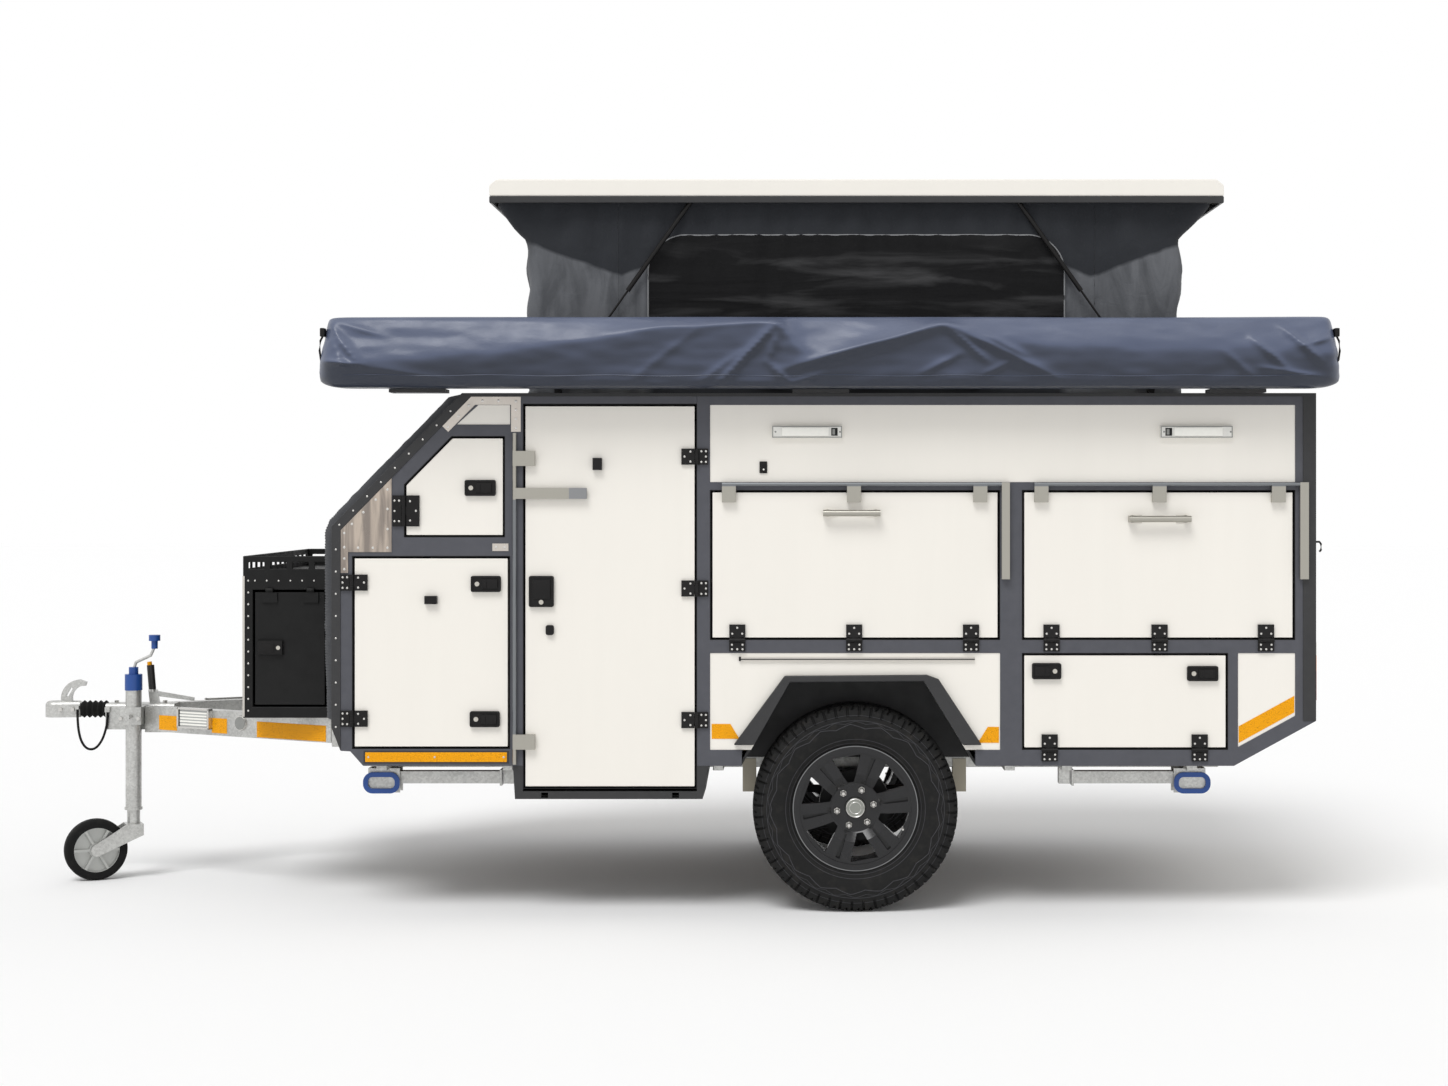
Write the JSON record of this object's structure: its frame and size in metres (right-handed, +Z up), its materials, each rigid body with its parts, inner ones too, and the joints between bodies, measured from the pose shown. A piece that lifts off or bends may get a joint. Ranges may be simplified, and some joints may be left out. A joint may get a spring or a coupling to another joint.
{
  "type": "off-road pop-top caravan",
  "caption": "Off-road pop-top caravan with a raised canvas roof, side hatches, an entrance door, a nose locker, a rolled side awning and a jockey wheel.",
  "frame": {"origin": "centre of the tow-ball socket", "axes": "+X rearwards along the caravan, +Y to the far side, +Z up; the door side is -Y"},
  "size_m": [5.116, 2.152, 2.763],
  "materials": {
    "white_panel": "warm white composite sheet, satin",
    "frame_grey": "charcoal powder coat",
    "dark_trim": "dark anodised extrusion",
    "black_fittings": "black moulded and coated hardware",
    "black_coat": "black textured powder coat",
    "galvanised": "hot-dip galvanised steel",
    "bare_aluminium": "mill-finish aluminium",
    "tyre_rubber": "all-terrain tyre",
    "rubber": "black rubber",
    "alloy_black": "satin black alloy",
    "canvas_cloth": "dark grey tent canvas",
    "awning_cloth": "slate blue coated cloth",
    "cover_cloth": "grey padded cover",
    "blue_plastic": "blue moulded plastic",
    "lamp": "clear and coloured lamp lens",
    "floor_board": "coated ply"
  },
  "bodies": {
    "trailer": {"chassis_frame": "galvanised", "drawbar": "galvanised", "coupling_housing": "galvanised", "coupling_head": "galvanised", "coupling_gaiter": "rubber", "drawbar_levers": "galvanised", "jockey_column": "galvanised", "axle_assembly": "black_coat", "floor_panel": "floor_board", "body_tubs": "dark_trim", "near_front_frame": "frame_grey", "near_rear_frame": "frame_grey", "near_panels": "white_panel", "far_frame": "frame_grey", "far_panels": "white_panel", "front_wall": "white_panel", "rear_wall": "white_panel", "roof_deck": "white_panel", "hinge_leaves": "black_fittings", "nose_box": "black_coat", "corner_trims": "dark_trim", "arch_flares": "dark_trim", "gusset_plates": "bare_aluminium", "front_cover": "cover_cloth", "awning_bag": "awning_cloth", "awning_brackets": "dark_trim", "lamps": "lamp", "canvas": "canvas_cloth", "strut_feet": "black_fittings", "steady_drives": "blue_plastic", "trailer_cable": "rubber"},
    "wheel_near": {"tyre_near": "tyre_rubber", "rim_near": "alloy_black"},
    "wheel_far": {"tyre_far": "tyre_rubber", "rim_far": "alloy_black"},
    "jockey_fork": {"jockey_fork": "galvanised"},
    "jockey_wheel": {"jockey_wheel": "rubber"},
    "entrance_door": {"entrance_door": "white_panel", "entrance_door_fittings": "black_fittings"},
    "front_door": {"front_door": "white_panel", "front_door_fittings": "black_fittings"},
    "front_hatch": {"front_hatch": "white_panel", "front_hatch_fittings": "black_fittings"},
    "galley_hatch": {"galley_hatch": "white_panel", "galley_hatch_fittings": "black_fittings"},
    "rear_hatch": {"rear_hatch": "white_panel", "rear_hatch_fittings": "black_fittings"},
    "rear_locker": {"rear_locker": "white_panel", "rear_locker_fittings": "black_fittings"},
    "nose_door": {"nose_door": "black_coat"},
    "roof_lid": {"lid_shell": "white_panel", "lid_trim": "dark_trim"},
    "front_strut_barrels": {"front_strut_barrels": "black_fittings"},
    "front_strut_rods": {"front_strut_rods": "black_fittings"},
    "steady_front_near": {"steady_front_near": "galvanised"},
    "steady_front_far": {"steady_front_far": "galvanised"},
    "rear_strut_barrels": {"rear_strut_barrels": "black_fittings"},
    "rear_strut_rods": {"rear_strut_rods": "black_fittings"},
    "steady_rear_near": {"steady_rear_near": "galvanised"},
    "steady_rear_far": {"steady_rear_far": "galvanised"}
  },
  "joints": [
    {"name": "wheel_near_spin", "type": "hinge", "parent": "trailer", "child": "wheel_near", "pos_m": [3.281, -0.7975, -0.292], "axis": [0, 1, 0], "continuous": true},
    {"name": "wheel_far_spin", "type": "hinge", "parent": "trailer", "child": "wheel_far", "pos_m": [3.281, 0.7975, -0.292], "axis": [0, 1, 0], "continuous": true},
    {"name": "jockey_swivel", "type": "hinge", "parent": "trailer", "child": "jockey_fork", "pos_m": [0.339, -0.105, -0.38], "axis": [0, 0, 1], "continuous": true},
    {"name": "jockey_roll", "type": "hinge", "parent": "jockey_fork", "child": "jockey_wheel", "pos_m": [0.20305, -0.16839, -0.556], "axis": [-0.4226, 0.9063, 0], "continuous": true},
    {"name": "entrance_swing", "type": "hinge", "parent": "trailer", "child": "entrance_door", "pos_m": [2.687, -0.958, 0.52], "axis": [0, 0, -1], "range_deg": [-110, 0]},
    {"name": "front_door_swing", "type": "hinge", "parent": "trailer", "child": "front_door", "pos_m": [1.397, -0.958, 0.3], "axis": [0, 0, -1], "range_deg": [0, 110]},
    {"name": "front_hatch_swing", "type": "hinge", "parent": "trailer", "child": "front_hatch", "pos_m": [1.591, -0.958, 0.828], "axis": [0, 0, -1], "range_deg": [0, 110]},
    {"name": "galley_hatch_drop", "type": "hinge", "parent": "trailer", "child": "galley_hatch", "pos_m": [3.275, -0.958, 0.345], "axis": [1, 0, 0], "range_deg": [0, 90]},
    {"name": "rear_hatch_drop", "type": "hinge", "parent": "trailer", "child": "rear_hatch", "pos_m": [4.417, -0.958, 0.345], "axis": [1, 0, 0], "range_deg": [0, 90]},
    {"name": "rear_locker_drop", "type": "hinge", "parent": "trailer", "child": "rear_locker", "pos_m": [4.288, -0.958, -0.066], "axis": [1, 0, 0], "range_deg": [0, 90]},
    {"name": "nose_door_lift", "type": "hinge", "parent": "trailer", "child": "nose_door", "pos_m": [1.09, -0.608, 0.518], "axis": [-1, 0, 0], "range_deg": [0, 100]},
    {"name": "roof_lift", "type": "slide", "parent": "trailer", "child": "roof_lid", "axis": [0, 0, 1], "range_m": [-0.719, 0], "deforming": ["canvas"]},
    {"name": "front_strut_tilt", "type": "hinge", "parent": "trailer", "child": "front_strut_rods", "pos_m": [2.153, 0, 1.289], "axis": [0, 1, 0], "range_deg": [0, 53.12]},
    {"name": "front_strut_extend", "type": "slide", "parent": "front_strut_rods", "child": "front_strut_barrels", "axis": [0.5786, 0, 0.8156], "range_m": [-0.37863, 0]},
    {"name": "rear_strut_tilt", "type": "hinge", "parent": "trailer", "child": "rear_strut_rods", "pos_m": [4.405, 0, 1.289], "axis": [0, -1, 0], "range_deg": [0, 53.12]},
    {"name": "rear_strut_extend", "type": "slide", "parent": "rear_strut_rods", "child": "rear_strut_barrels", "axis": [-0.5786, 0, 0.8156], "range_m": [-0.37863, 0]},
    {"name": "steady_front_near_drop", "type": "hinge", "parent": "trailer", "child": "steady_front_near", "pos_m": [1.5, -0.8, -0.184], "axis": [0, 1, 0], "range_deg": [0, 90]},
    {"name": "steady_front_far_drop", "type": "hinge", "parent": "trailer", "child": "steady_front_far", "pos_m": [1.5, 0.8, -0.184], "axis": [0, 1, 0], "range_deg": [0, 90]},
    {"name": "steady_rear_near_drop", "type": "hinge", "parent": "trailer", "child": "steady_rear_near", "pos_m": [4.545, -0.8, -0.184], "axis": [0, -1, 0], "range_deg": [0, 90]},
    {"name": "steady_rear_far_drop", "type": "hinge", "parent": "trailer", "child": "steady_rear_far", "pos_m": [4.545, 0.8, -0.184], "axis": [0, -1, 0], "range_deg": [0, 90]}
  ],
  "couplings": [
    {"joint": "front_strut_tilt", "follows": "roof_lift", "rad_per_m": -1.2891},
    {"joint": "front_strut_extend", "follows": "roof_lift", "ratio": 0.52646},
    {"joint": "rear_strut_tilt", "follows": "roof_lift", "rad_per_m": -1.2891},
    {"joint": "rear_strut_extend", "follows": "roof_lift", "ratio": 0.52646}
  ]
}
